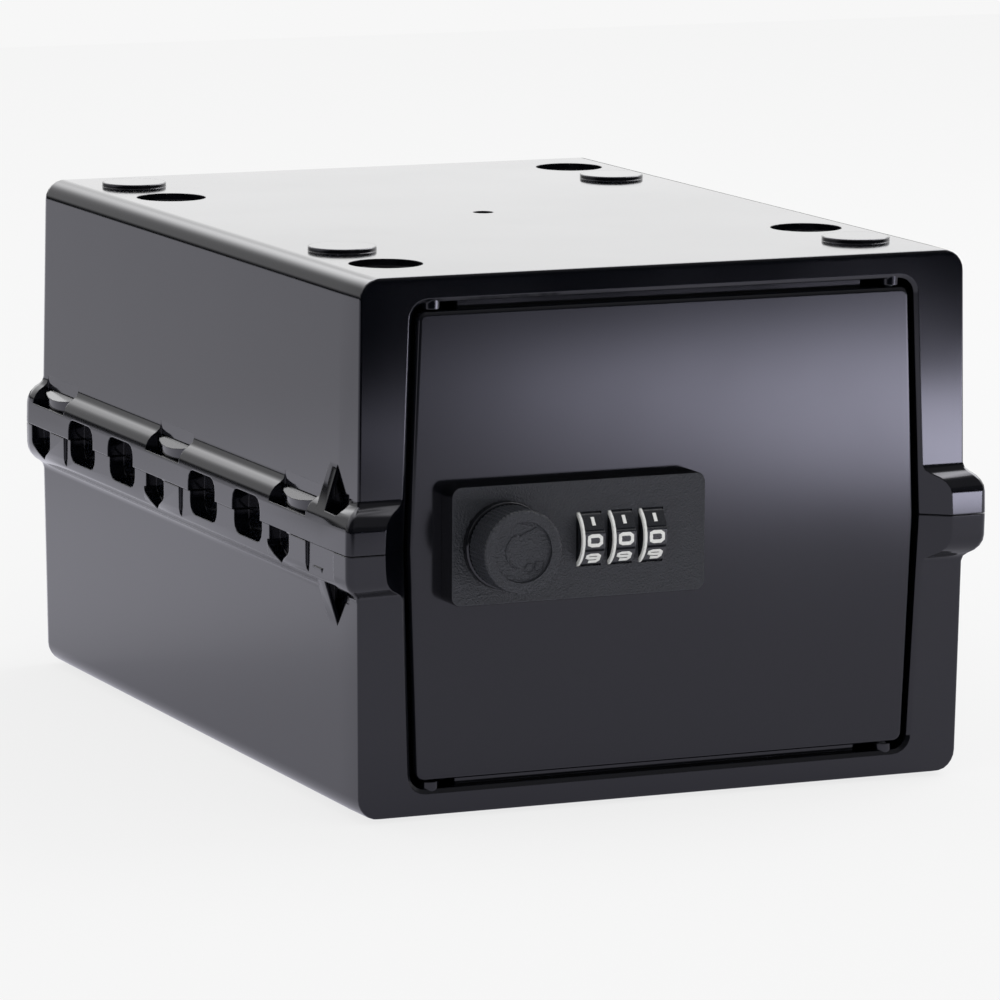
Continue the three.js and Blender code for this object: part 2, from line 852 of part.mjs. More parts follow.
function makeSpindle() {
  const shank_front = knob_back - knob_socket_depth + joint_gap;
  const shank = rod('y', spindle_radius, [knob_x, lock_z], shank_front, cam_hub_front - joint_gap, 24);
  const half = spindle_square / 2;
  const square = slab(
    [knob_x - half, knob_x + half],
    [cam_hub_front - overrun, cam_hub_back - seat_gap],
    [lock_z - half, lock_z + half],
  );
  const thread = rod(
    'y',
    cam_screw_radius + running_gap,
    [knob_x, lock_z],
    cam_head_front - cam_screw_length - screw_tip_room,
    cam_hub_back + overrun,
    12,
  );
  return cut(join(shank, square), thread);
}

// A cranked lever that points down when the door is free.
function makeCam() {
  const half = cam_width / 2;
  const tip_front = cam_hub_front - cam_crank;
  const side_profile = [
    [cam_hub_front, half],
    [cam_hub_back, half],
    [cam_hub_back, -cam_crank_radius],
    [cam_hub_back - cam_crank, -cam_crank_radius - cam_crank_run],
    [cam_hub_back - cam_crank, -cam_reach],
    [tip_front, -cam_reach],
    [tip_front, -cam_crank_radius - cam_crank_run],
    [cam_hub_front, -cam_crank_radius],
  ];
  const shape = new THREE.Shape(side_profile.map(([y, z]) => new THREE.Vector2(y, z)));
  const strip = new THREE.ExtrudeGeometry(shape, { depth: cam_width, bevelEnabled: false });
  // The shape's X, Y and depth become Y, Z and X
  strip.applyMatrix4(new THREE.Matrix4().set(
    0, 0, 1, knob_x - half,
    1, 0, 0, 0,
    0, 1, 0, lock_z,
    0, 0, 0, 1,
  ));
  const outline = rounded(
    [[knob_x - half, lock_z + half], [knob_x + half, lock_z + half],
      [knob_x + half * cam_tip_part, lock_z - cam_reach], [knob_x - half * cam_tip_part, lock_z - cam_reach]],
    [half * nearly_whole, half * nearly_whole, cam_tip_radius, cam_tip_radius],
    6,
  );
  const plan = prism('y', outline, tip_front - overrun, cam_hub_back + overrun);
  const square = spindle_square / 2 + running_gap;
  const hole = slab(
    [knob_x - square, knob_x + square],
    [cam_hub_front - overrun, cam_hub_back + overrun],
    [lock_z - square, lock_z + square],
  );
  return cut(solidOf(strip).intersect(plan), hole);
}

function makeCamWasher() {
  const hole = [washer_front - overrun, washer_back + overrun];
  return cut(
    rod('y', washer_radius, [knob_x, lock_z], washer_front, washer_back, 24),
    rod('y', cam_screw_radius + running_gap, [knob_x, lock_z], ...hole, 12),
  );
}

// A pan head screw along Y with a cross recess in its head, which faces the back.
function panScrew(x, head_front, head_radius, head_height, shank_radius, length) {
  const centre = [x, lock_z];
  const head_back = head_front + head_height;
  const rim_back = head_front + head_height * 0.55;
  const shoulder_back = head_front + head_height * 0.9;
  const crown_radius = head_radius * 0.55;
  const arm = crown_radius;
  const slot = head_radius * 0.13;
  const screw = join(
    turned('y', [
      [head_radius, head_front],
      [head_radius, rim_back],
      [head_radius * 0.8, shoulder_back],
      [crown_radius, head_back],
    ], centre, 14),
    turned('y', [
      [shank_radius * 0.6, head_front - length],
      [shank_radius, head_front - length + shank_radius],
      [shank_radius, head_front + joint_gap],
    ], centre, 10),
  );
  const deep = [rim_back, head_back + overrun];
  return cut(
    screw,
    slab([x - arm, x + arm], deep, [lock_z - slot, lock_z + slot]),
    slab([x - slot, x + slot], deep, [lock_z - arm, lock_z + arm]),
  );
}

// A wheel with ten flats that carry the numbers, parted by grooves.
function makeDial(x) {
  const from = x - dial_width / 2;
  const to = x + dial_width / 2;
  const spot = [dial_y, dial_z];
  const turn = Math.PI / dial_facets;
  const corner_radius = dial_radius / Math.cos(turn);
  let dial = prism('x', circle(corner_radius, spot, dial_facets, turn + Math.PI), from, to)
    .intersect(rod('x', dial_radius + dial_rim_rise, spot, from, to, 40));
  for (let step = 0; step < dial_facets; step += 1) {
    const angle = turn + (2 * Math.PI * step) / dial_facets;
    const reach = dial_radius + dial_groove / 2;
    const groove = rod(
      'x',
      dial_groove,
      [spot[0] + reach * Math.cos(angle), spot[1] + reach * Math.sin(angle)],
      from - overrun,
      to + overrun,
      4,
    );
    dial = cut(dial, groove);
  }
  return cut(dial, rod('x', axle_radius + running_gap, spot, from - overrun, to + overrun, 16));
}

function makeCodeSleeve(x) {
  const from = x + dial_width / 2 + seam_gap / 2;
  const to = from + sleeve_width;
  const spot = [dial_y, dial_z];
  const notch = slab(
    [from - overrun, to + overrun],
    [dial_y + sleeve_radius - sleeve_notch, dial_y + sleeve_radius + overrun],
    [dial_z - sleeve_notch, dial_z + sleeve_notch],
  );
  return cut(
    rod('x', sleeve_radius, spot, from, to, 24),
    rod('x', axle_radius + running_gap, spot, from - overrun, to + overrun, 16),
    notch,
  );
}

function makeDialAxle() {
  const reach = axle_seat - joint_gap;
  return rod('x', axle_radius, [dial_y, dial_z], wheel_left - reach, wheel_right + reach, 16);
}

// Depths inside the housing
const wheel_back = dial_y + dial_radius;
const bar_front = wheel_back + bar_gap;
const bar_back = bar_front + bar_thickness;
const bar_tip = dial_y + sleeve_radius + slip_gap;
const lever_x = housing_right - lever_inset;
const lever_z = lock_z + housing_half_height - lever_drop;
const lever_front = housing_back + seat_gap;

function makeHousing() {
  const low = lock_z - housing_half_height;
  const high = lock_z + housing_half_height;
  const body = prism(
    'y',
    roundedBox([housing_left, housing_right], [low, high], housing_radius, 3),
    housing_front,
    housing_back,
  );
  const flange = prism(
    'y',
    roundedBox(
      [housing_left - flange_length, housing_right + flange_length],
      [lock_z - flange_half_height, lock_z + flange_half_height],
      flange_radius,
      3,
    ),
    housing_front,
    housing_front + flange_thickness,
  );
  const inside = slab(
    [housing_left + housing_wall, housing_right - housing_wall],
    [housing_front - overrun, housing_back - housing_wall],
    [low + housing_wall, high - housing_wall],
  );
  const back_wall = [housing_back - housing_wall - overrun, housing_back + overrun];
  const flange_hole = [housing_front - overrun, housing_front + flange_thickness + overrun];
  return cut(
    join(body, flange),
    inside,
    rod('y', spindle_radius + running_gap, [knob_x, lock_z], ...back_wall, 24),
    rod('y', lever_pivot_radius + running_gap, [lever_x, lever_z], ...back_wall, 12),
    ...[screw_left_x, screw_right_x].map((x) => (
      rod('y', screw_radius + running_gap, [x, lock_z], ...flange_hole, 12)
    )),
  );
}

// The bar rides on the spindle and reaches between the wheels to the sleeves.
function makeLockBar() {
  const eye_radius = spindle_radius + bar_eye_wall;
  const half = bar_height / 2;
  const right_sleeve = dial_places[2] + dial_width / 2 + seam_gap / 2 + sleeve_width;
  let bar = join(
    rod('y', eye_radius, [knob_x, lock_z], bar_front, bar_back, 24),
    slab([knob_x, right_sleeve], [bar_front, bar_back], [lock_z - half, lock_z + half]),
  );
  for (const x of dial_places) {
    const from = x + dial_width / 2 + seam_gap / 2;
    const finger_half = sleeve_notch * finger_part;
    bar = join(bar, slab(
      [from + joint_gap, from + sleeve_width - joint_gap],
      [bar_tip, bar_back],
      [dial_z - finger_half, dial_z + finger_half],
    ));
  }
  const eye = [bar_front - overrun, bar_back + overrun];
  return cut(bar, rod('y', spindle_radius + running_gap, [knob_x, lock_z], ...eye, 24));
}

// A leaf in the top of the housing, with a fold that hangs down to each wheel.
function makeDetentSpring() {
  const top = lock_z + housing_half_height - housing_wall - seat_gap;
  const front = housing_front + joint_gap;
  const leaf = slab(
    [wheel_left + seam_gap, wheel_right - seam_gap],
    [front, front + spring_width],
    [top - spring_thickness, top],
  );
  const folds = dial_places.map((x) => slab(
    [x - spring_fold_width / 2, x + spring_fold_width / 2],
    [front, front + spring_thickness],
    [dial_z + dial_radius + spring_fold_gap, top],
  ));
  return join(leaf, ...folds);
}

function makeCodeLever() {
  const half = lever_width / 2;
  const lever_back = lever_front + lever_thickness;
  const end_x = lever_x - lever_length;
  const outline = roundedBox(
    [end_x, lever_x + half],
    [lever_z - half, lever_z + half],
    half * nearly_whole,
    4,
  );
  const tab = slab(
    [end_x + lever_tab_inset, end_x + lever_tab_inset + lever_tab_length],
    [lever_front, lever_back + lever_tab_height],
    [lever_z - half + lever_tab_inset, lever_z + half - lever_tab_inset],
  );
  const pivot = rod('y', lever_pivot_radius, [lever_x, lever_z], housing_back - housing_wall, lever_back, 12);
  return join(prism('y', outline, lever_front, lever_back), tab, pivot);
}

// Assembly

const materials = {
  shell_black: new THREE.MeshStandardMaterial({ color: 0x0b0c0f, roughness: 0.12, metalness: 0 }),
  door_black: new THREE.MeshStandardMaterial({ color: 0x101116, roughness: 0.2, metalness: 0 }),
  lock_black: new THREE.MeshStandardMaterial({ color: 0x1a1b1e, roughness: 0.6, metalness: 0 }),
  collar_black: new THREE.MeshStandardMaterial({ color: 0x0c0d10, roughness: 0.15, metalness: 0 }),
  dial_black: new THREE.MeshStandardMaterial({ color: 0x141518, roughness: 0.35, metalness: 0 }),
  zinc: new THREE.MeshStandardMaterial({ color: 0xa9abae, roughness: 0.4, metalness: 1 }),
  steel: new THREE.MeshStandardMaterial({ color: 0xb9bbbd, roughness: 0.3, metalness: 1 }),
  brass: new THREE.MeshStandardMaterial({ color: 0xb59a52, roughness: 0.35, metalness: 1 }),
};

const box = new THREE.Group();

function place(name, solid, material, parent = box) {
  const mesh = new THREE.Mesh(geometryOf(solid), material);
  mesh.name = name;
  parent.add(mesh);
  return mesh;
}

const shell = makeShell();
place('upper_shell', shell, materials.shell_black);
place('lower_shell', shell, materials.shell_black).rotation.y = Math.PI;
place('door_panel', makeDoor(), materials.door_black);
place('hinge_pin_upper', makeHingePin(1), materials.steel);
place('hinge_pin_lower', makeHingePin(-1), materials.steel);

place('lock_faceplate', makeFaceplate(), materials.lock_black);
place('knob_collar', makeCollar(), materials.collar_black);
place('lock_knob', makeKnob(), materials.lock_black);
place('lock_spindle', makeSpindle(), materials.zinc);
place('lock_cam', makeCam(), materials.steel);
place('cam_washer', makeCamWasher(), materials.steel);
place(
  'cam_screw',
  panScrew(knob_x, cam_head_front, cam_screw_head_radius, cam_screw_head, cam_screw_radius, cam_screw_length),
  materials.steel,
);
place('dial_axle', makeDialAxle(), materials.steel);
dial_places.forEach((x, index) => {
  place(`dial_${index + 1}`, makeDial(x), materials.dial_black);
  place(`code_sleeve_${index + 1}`, makeCodeSleeve(x), materials.brass);
});
place('lock_housing', makeHousing(), materials.lock_black);
place('lock_bar', makeLockBar(), materials.steel);
place('detent_spring', makeDetentSpring(), materials.steel);
place('code_change_lever', makeCodeLever(), materials.steel);
const flange_back = housing_front + flange_thickness + seat_gap;
const housingScrew = (x) => (
  panScrew(x, flange_back, screw_head_radius, screw_head_height, screw_radius, screw_length)
);
place('lock_screw_left', housingScrew(screw_left_x), materials.steel);
place('lock_screw_right', housingScrew(screw_right_x), materials.steel);

// The reference point is the middle of the box's footprint, on the surface it stands on
const belt_back = body_depth + belt_proud;
box.position.set(0, -(knob_front + belt_back) / 2, half_height + stud_height);

const group = new THREE.Group();
group.add(box);

export default group;
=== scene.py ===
# %% [markdown]
# A lockable storage box in black moulded plastic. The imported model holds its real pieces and
# sizes, so this scene only gives them their rounded edges, their finishes, their printed numbers
# and a plain studio. Everything is in metres: X to the right, Y to the back, Z up. A name that
# ends in MM holds millimetres, as on a workshop drawing.

# %% Load the fixed frame
import json
import math

import bmesh
import bpy
from mathutils import Matrix, Vector

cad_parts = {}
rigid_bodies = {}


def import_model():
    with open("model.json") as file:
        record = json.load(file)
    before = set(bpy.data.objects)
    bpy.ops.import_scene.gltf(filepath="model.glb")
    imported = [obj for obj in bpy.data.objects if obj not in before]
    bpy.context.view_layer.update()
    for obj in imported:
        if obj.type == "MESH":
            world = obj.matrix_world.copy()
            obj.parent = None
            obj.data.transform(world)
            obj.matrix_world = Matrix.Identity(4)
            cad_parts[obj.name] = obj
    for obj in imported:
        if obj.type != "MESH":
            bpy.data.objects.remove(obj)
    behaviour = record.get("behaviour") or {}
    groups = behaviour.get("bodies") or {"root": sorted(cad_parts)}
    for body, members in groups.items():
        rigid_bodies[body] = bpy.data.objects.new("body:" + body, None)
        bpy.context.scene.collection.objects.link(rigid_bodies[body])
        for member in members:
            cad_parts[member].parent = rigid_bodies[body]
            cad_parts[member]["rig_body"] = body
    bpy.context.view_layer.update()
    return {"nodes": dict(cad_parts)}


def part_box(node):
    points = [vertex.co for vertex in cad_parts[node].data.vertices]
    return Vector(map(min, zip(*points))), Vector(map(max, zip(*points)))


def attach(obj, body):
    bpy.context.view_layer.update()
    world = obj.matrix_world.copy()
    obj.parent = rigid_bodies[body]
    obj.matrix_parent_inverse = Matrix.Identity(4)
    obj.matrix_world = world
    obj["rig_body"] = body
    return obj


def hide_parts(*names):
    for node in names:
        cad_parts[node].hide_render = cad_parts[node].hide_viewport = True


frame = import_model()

MM = 0.001
scene = bpy.context.scene

# %% [markdown]
# The camera comes first, because every finish is judged through it. A wide lens from close by
# would spread the box's edges apart. A long lens from far away keeps them nearly parallel, as a
# product photographer would have it, so that is the way chosen. Its place was found by fitting
# the edges of the box to the photograph.

# %% Camera at the photograph's view
PHOTO_PIXELS = 1000
FOCAL_PIXELS = 6338.84
SENSOR_MM = 36.0
AZIMUTH = math.radians(-23.8058)
ELEVATION = math.radians(9.4562)
ROLL = math.radians(0.3567)
CAMERA_PLACE = Vector((-795.66, -1810.21, 400.54)) * MM


def placed(spot, across, upwards, outwards):
    """The matrix that moves a thing to a spot and turns its X, Y and Z along three directions."""
    return Matrix.Translation(spot) @ Matrix((across, upwards, outwards)).transposed().to_4x4()


back = Vector((
    math.sin(AZIMUTH) * math.cos(ELEVATION),
    -math.cos(AZIMUTH) * math.cos(ELEVATION),
    math.sin(ELEVATION),
))
level_right = Vector((0, 0, 1)).cross(back).normalized()
level_up = back.cross(level_right)
right = math.cos(ROLL) * level_right + math.sin(ROLL) * level_up
up = -math.sin(ROLL) * level_right + math.cos(ROLL) * level_up

lens = bpy.data.cameras.new("photo_camera")
lens.sensor_width = SENSOR_MM
lens.lens = SENSOR_MM * FOCAL_PIXELS / PHOTO_PIXELS
lens.clip_start = 0.05
lens.clip_end = 50
camera = bpy.data.objects.new("photo_camera", lens)
camera.matrix_world = placed(CAMERA_PLACE, right, up, back)
scene.collection.objects.link(camera)
scene.camera = camera
scene.view_settings.view_transform = "Standard"
print("lens", round(lens.lens, 1), "mm at", [round(value, 3) for value in CAMERA_PLACE])


# %% [markdown]
# A few small helpers serve every finish. Colours are written as the hex values that a paint chart
# would give, and Blender wants them linear. Nodes are added one at a time, with their settings
# and links in one call, so that each material reads from top to bottom. Patterns follow the
# object's own coordinates, so they stay on a piece when a joint moves it.

# %% Colour and node helpers
def linear(code):
    """An sRGB hex colour as linear red, green, blue and alpha."""
    shades = [int(code[start:start + 2], 16) / 255 for start in (1, 3, 5)]
    return [s / 12.92 if s <= 0.04045 else ((s + 0.055) / 1.055) ** 2.4 for s in shades] + [1.0]


def add_node(tree, kind, values=None, links=None, **settings):
    """One node with its settings, its socket values and what feeds its sockets."""
    node = tree.nodes.new(kind)
    for name, value in settings.items():
        setattr(node, name, value)
    for socket, value in (values or {}).items():
        node.inputs[socket].default_value = value
    for socket, source in (links or {}).items():
        tree.links.new(source, node.inputs[socket])
    return node


def empty_material(name):
    """A material that holds nothing but the object's own coordinates, in metres."""
    material = bpy.data.materials.new(name)
    material.use_nodes = True
    tree = material.node_tree
    tree.nodes.clear()
    place = add_node(tree, "ShaderNodeTexCoord").outputs["Object"]
    return material, tree, place


def new_finish(name):
    """A material with its shader joined to the surface, for a finish of the box."""
    material, tree, place = empty_material(name)
    shader = add_node(tree, "ShaderNodeBsdfPrincipled")
    add_node(tree, "ShaderNodeOutputMaterial", links={"Surface": shader.outputs["BSDF"]})
    return material, tree, shader, place


print("the grey #808080 is linear", round(linear("#808080")[0], 3))

# %% [markdown]
# The shells are ABS, injection moulded in a polished tool. Such a surface is a dark mirror: it
# shows almost nothing of its own colour and everything of the room. What gives it away as
# plastic is a slow waviness from cooling, a few centimetres long and some hundredths of a
# millimetre deep, which bends the reflections a little. A faint cloud in the gloss stands for
# handling. The door comes from a finer satin tool with less shine, and the ring behind the knob
# is a small glossy moulding. Edges too small for faces of their own are rounded in the shader,
# which costs no faces and can't break a mesh.

# %% Polished and satin ABS
ABS_IOR = 1.54
CLOUD_MM = 60


def polished_abs(name, colour, roughness, haze, shine, wave_mm, wave_height_mm, edge_mm):
    """A smooth moulded black, with a slow wave, clouds in the gloss and soft small edges."""
    material, tree, shader, place = new_finish(name)
    shader.inputs["Base Color"].default_value = linear(colour)
    shader.inputs["IOR"].default_value = ABS_IOR
    shader.inputs["Specular IOR Level"].default_value = shine
    # A painted cool tint on every reflection, standing in for the cool light of the room.
    shader.inputs["Specular Tint"].default_value = linear("#f6f5ff")
    cloud = add_node(
        tree, "ShaderNodeTexNoise",
        {"Scale": 1 / (CLOUD_MM * MM), "Detail": 3.0, "Roughness": 0.5}, {"Vector": place},
    )
    gloss = add_node(
        tree, "ShaderNodeMapRange",
        {"From Min": 0.35, "From Max": 0.7, "To Min": roughness, "To Max": roughness + haze},
        {"Value": cloud.outputs["Fac"]},
    )
    tree.links.new(gloss.outputs["Result"], shader.inputs["Roughness"])
    wave = add_node(
        tree, "ShaderNodeTexNoise",
        {"Scale": 1 / (wave_mm * MM), "Detail": 1.0, "Roughness": 0.4}, {"Vector": place},
    )
    soft_edge = add_node(tree, "ShaderNodeBevel", {"Radius": edge_mm * MM}, samples=6)
    bump = add_node(
        tree, "ShaderNodeBump", {"Strength": 1.0, "Distance": wave_height_mm * MM},
        {"Height": wave.outputs["Fac"], "Normal": soft_edge.outputs["Normal"]},
    )
    tree.links.new(bump.outputs["Normal"], shader.inputs["Normal"])
    return material


shell_plastic = polished_abs(
    "polished_abs_shell", "#05060a", roughness=0.08, haze=0.04, shine=0.5,
    wave_mm=45, wave_height_mm=0.05, edge_mm=0.45,
)
door_plastic = polished_abs(
    "satin_abs_door", "#090a0e", roughness=0.125, haze=0.02, shine=0.45,
    wave_mm=60, wave_height_mm=0.03, edge_mm=0.2,
)
collar_plastic = polished_abs(
    "polished_abs_collar", "#08090c", roughness=0.10, haze=0.04, shine=0.5,
    wave_mm=12, wave_height_mm=0.01, edge_mm=0.2,
)
print("plastics", shell_plastic.name, door_plastic.name, collar_plastic.name)


# %% [markdown]
# The lock's plate, knob and rear case are moulded in a spark-eroded tool, which leaves a grain of
# small blisters about half a millimetre apart. It scatters the light, so the plate looks charcoal
# beside the black shell, with a sparkle on the blisters' shoulders. Cells and a noise of half
# their size make the blisters. The same noise paints the high parts of the grain paler, as a
# painted highlight on the blister tops. The blisters' height is drawn far deeper than the real few
# hundredths of a millimetre, because it has to show at this size. The wheels have the same grain
# and the same painted highlight, but finer and almost flat.

# %% Grained plastic for the lock
# The paler colour of the blister tops: a painted highlight.
BLISTER_TOP_HIGHLIGHT = "#2e3036"


def grained_abs(name, colour, roughness, grain_mm, grain_height_mm):
    """A moulded black with a grain of blisters and a painted highlight where the grain is high."""
    material, tree, shader, place = new_finish(name)
    shader.inputs["IOR"].default_value = ABS_IOR
    shader.inputs["Roughness"].default_value = roughness
    blister = add_node(
        tree, "ShaderNodeTexVoronoi",
        {"Scale": 1 / (grain_mm * MM), "Randomness": 1.0}, {"Vector": place}, feature="SMOOTH_F1",
    )
    fine = add_node(
        tree, "ShaderNodeTexNoise",
        {"Scale": 1 / (grain_mm * 0.5 * MM), "Detail": 3.0}, {"Vector": place},
    )
    height = add_node(
        tree, "ShaderNodeMath", None,
        {0: fine.outputs["Fac"], 1: blister.outputs["Distance"]}, operation="ADD",
    )
    bump = add_node(
        tree, "ShaderNodeBump",
        {"Strength": 1.0, "Distance": grain_height_mm * MM}, {"Height": height.outputs["Value"]},
    )
    tree.links.new(bump.outputs["Normal"], shader.inputs["Normal"])
    # Painted highlight: the colour turns towards the paler blister tone where the fine noise raises
    # the grain.
    tone = add_node(
        tree, "ShaderNodeMix",
        {"A": linear(colour), "B": linear(BLISTER_TOP_HIGHLIGHT)}, {"Factor": fine.outputs["Fac"]},
        data_type="RGBA",
    )
    tree.links.new(tone.outputs["Result"], shader.inputs["Base Color"])
    return material


grained_plastic = grained_abs(
    "grained_abs_lock", "#202227", roughness=0.34, grain_mm=0.6, grain_height_mm=0.26,
)
dial_plastic = grained_abs(
    "moulded_abs_wheel", "#0b0c0f", roughness=0.2, grain_mm=0.4, grain_height_mm=0.01,
)
print("lock plastics", grained_plastic.name, dial_plastic.name)


# %% [markdown]
# The numbers are white ink pressed on the wheels. Ink is matt beside the plastic and never quite
# even, so its white has specks a little under a millimetre wide.

# %% White ink
SPECK_MM = 0.8


def ink(name, colour, speck_colour):
    """A matt printed colour with faint specks."""
    material, tree, shader, place = new_finish(name)
    shader.inputs["Roughness"].default_value = 0.45
    speck = add_node(
        tree, "ShaderNodeTexNoise", {"Scale": 1 / (SPECK_MM * MM), "Detail": 4.0}, {"Vector": place},
    )
    tone = add_node(
        tree, "ShaderNodeMix",
        {"A": linear(colour), "B": linear(speck_colour)}, {"Factor": speck.outputs["Fac"]},
        data_type="RGBA",
    )
    tree.links.new(tone.outputs["Result"], shader.inputs["Base Color"])
    return material


white_ink = ink("white_ink", "#f6f6f4", "#d9dad8")
print("ink", white_ink.name)


# %% [markdown]
# The works behind the door are zinc-plated steel, die-cast zinc and turned brass. Metals keep the
# default IOR, and their colour lives in the base colour. A noise gives them fine lines, stretched
# along the cut where the metal is rolled or turned and left even where it is cast. It shifts the
# tone and the gloss together, as a scratch does.

# %% Metals
GLOSS_SPREAD = 0.15


def metal(name, colour, shade, roughness, lines_mm, stretch):
    """A metal with fine lines in its tone and gloss."""
    material, tree, shader, place = new_finish(name)
    shader.inputs["Metallic"].default_value = 1.0
    along = add_node(tree, "ShaderNodeMapping", {"Scale": stretch}, {"Vector": place})
    lines = add_node(
        tree, "ShaderNodeTexNoise", {"Scale": 1 / (lines_mm * MM), "Detail": 4.0},
        {"Vector": along.outputs["Vector"]},
    )
    tone = add_node(
        tree, "ShaderNodeMix",
        {"A": linear(colour), "B": linear(shade)}, {"Factor": lines.outputs["Fac"]},
        data_type="RGBA",
    )
    tree.links.new(tone.outputs["Result"], shader.inputs["Base Color"])
    gloss = add_node(
        tree, "ShaderNodeMapRange",
        {"To Min": roughness, "To Max": roughness + GLOSS_SPREAD}, {"Value": lines.outputs["Fac"]},
    )
    tree.links.new(gloss.outputs["Result"], shader.inputs["Roughness"])
    return material


plated_steel = metal(
    "zinc_plated_steel", "#c3c6ca", "#a9adb2", roughness=0.26, lines_mm=0.8, stretch=(1, 1, 0.15),
)
cast_zinc = metal(
    "die_cast_zinc", "#a4a7ab", "#8c9095", roughness=0.38, lines_mm=0.6, stretch=(1, 1, 1),
)
turned_brass = metal(
    "turned_brass", "#c7a459", "#ab8640", roughness=0.24, lines_mm=0.5, stretch=(0.15, 1, 1),
)
print("metals", plated_steel.name, cast_zinc.name, turned_brass.name)


# %% [markdown]
# A mirror-like surface shows every wrong normal. Smooth shading over large flat walls and narrow
# curves would bend the walls, and flat shading would show each strip of a curve. So each corner
# takes its own normal: it is mixed from the faces round it, weighted by the square of the flat
# area that each belongs to. The walls stay flat and only the curves between them bend the light.

# %% Normals for flat walls beside narrow curves
FLAT_DEGREES = 0.4


def flat_areas(mesh):
    """For each face, the area of the flat region that it is part of."""
    area = {}
    for first in mesh.faces:
        if first in area:
            continue
        area[first] = 0.0
        region = [first]
        for face in region:
            for edge in face.edges:
                if len(edge.link_faces) == 2 and edge.calc_face_angle(0) < math.radians(FLAT_DEGREES):
                    for other in edge.link_faces:
                        if other not in area:
                            area[other] = 0.0
                            region.append(other)
        total = sum(face.calc_area() for face in region)
        area.update({face: total for face in region})
    return area


def corner_normals(mesh):
    """A normal for each corner of each face, blended over the smooth edges at its vertex."""
    area = flat_areas(mesh)
    normals = []
    for face in mesh.faces:
        for corner in face.loops:
            fan = [face]
            for near in fan:
                for edge in near.edges:
                    if edge.smooth and corner.vert in edge.verts:
                        fan.extend(other for other in edge.link_faces if other not in fan)
            normal = Vector()
            for near in fan:
                turn = next(loop for loop in near.loops if loop.vert == corner.vert).calc_angle()
                normal += near.normal * turn * area[near] ** 2
            normals.append(normal.normalized() if normal.length > 0 else face.normal.copy())
    return normals


print("faces within", FLAT_DEGREES, "degrees count as one flat region")


# %% [markdown]
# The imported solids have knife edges, and no moulding has. A real edge is rounded by a few tenths
# of a millimetre, and that thin round is what draws the bright lines along a black box. Each
# solid is copied into a piece of its own, and the edges of most pieces are rounded with real
# faces. The shells and the lock's rear case have holes and steps in their flat faces, where
# joining faces and rounding edges can fill a hole by mistake, so they keep the solid's own faces.

# %% Round the edges of a solid
SHARP_DEGREES = 30


def long_sharp_edges(mesh, shortest):
    """Edges that turn sharply and are long enough to take a round."""
    return [
        edge for edge in mesh.edges
        if len(edge.link_faces) == 2
        and edge.calc_face_angle(0) > math.radians(SHARP_DEGREES)
        and edge.calc_length() > shortest
    ]


def round_long_edges(mesh, round_mm, shortest_mm):
    """Joins the flat faces and gives the long edges a round of two steps."""
    bmesh.ops.dissolve_limit(
        mesh, angle_limit=math.radians(FLAT_DEGREES), verts=mesh.verts, edges=mesh.edges,
    )
    bmesh.ops.bevel(
        mesh, geom=long_sharp_edges(mesh, shortest_mm * MM), offset=round_mm * MM,
        offset_type="OFFSET", segments=2, profile=0.5, affect="EDGES", clamp_overlap=True,
    )


print("edges over", SHARP_DEGREES, "degrees get a round")


# %% [markdown]
# Every solid is dressed in the same way. Its copy is welded, rounded where a round is given and
# given its corner normals and finish.

# %% Dress a solid
WELD_MM = 0.002
SMOOTH_DEGREES = 33


def dress(node, material, round_mm=0, shortest_mm=1.2):
    """A copy of a solid with its finish, rounded where a round is given."""
    source = frame["nodes"][node]
    mesh = bmesh.new()
    mesh.from_mesh(source.data)
    bmesh.ops.remove_doubles(mesh, verts=mesh.verts, dist=WELD_MM * MM)
    if round_mm:
        round_long_edges(mesh, round_mm, shortest_mm)
    for face in mesh.faces:
        face.smooth = True
    for edge in mesh.edges:
        turn = edge.calc_face_angle(0) if len(edge.link_faces) == 2 else math.pi
        edge.smooth = turn < math.radians(SMOOTH_DEGREES)
    mesh.normal_update()
    normals = corner_normals(mesh)
    data = bpy.data.meshes.new(node + "_moulded")
    mesh.to_mesh(data)
    mesh.free()
    data.normals_split_custom_set(normals)
    data.materials.append(material)
    piece = bpy.data.objects.new(node + "_moulded", data)
    scene.collection.objects.link(piece)
    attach(piece, source["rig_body"])
    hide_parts(node)
    print(piece.name, len(data.polygons), "faces")
    return piece


print("edges under", SMOOTH_DEGREES, "degrees are shaded smooth")

# %% [markdown]
# The two shells are the same moulding, one turned over, and they clip together at the belt. The
# door is set into their front. Its edge has a round of a third of a millimetre, which draws the
# thin bright line round the door.

# %% Shells and door
for node in ("upper_shell", "lower_shell"):
    dress(node, shell_plastic)
dress("door_panel", door_plastic, 0.3)

# %% [markdown]
# Outside the door are the plate, the knob with its glossy ring, and the three wheels. Only the
# front of the plate has the grain. Its sides slide out of the tool when it opens and come out
# smooth, so they take the glossy finish. The knob's teeth and the wheels' ridges are short edges,
# so shorter edges are rounded there than on the door.

# %% Lock outside the door
FRONT_NORMAL_Y = -0.6

faceplate = dress("lock_faceplate", grained_plastic, 0.25)
faceplate.data.materials.append(collar_plastic)
for polygon in faceplate.data.polygons:
    if polygon.normal.y > FRONT_NORMAL_Y:
        polygon.material_index = 1
dress("knob_collar", collar_plastic, 0.2)
dress("lock_knob", grained_plastic, 0.12, shortest_mm=0.3)
for number in (1, 2, 3):
    dress(f"dial_{number}", dial_plastic, 0.12, shortest_mm=0.6)

# %% [markdown]
# Behind the door the case holds the works: a cast spindle from the knob to the cam, notched brass
# sleeves beside the wheels, and pins, washer, screws, bar and spring in plated steel. They only
# show with the door open, and get fine rounds, as cut and stamped metal has.

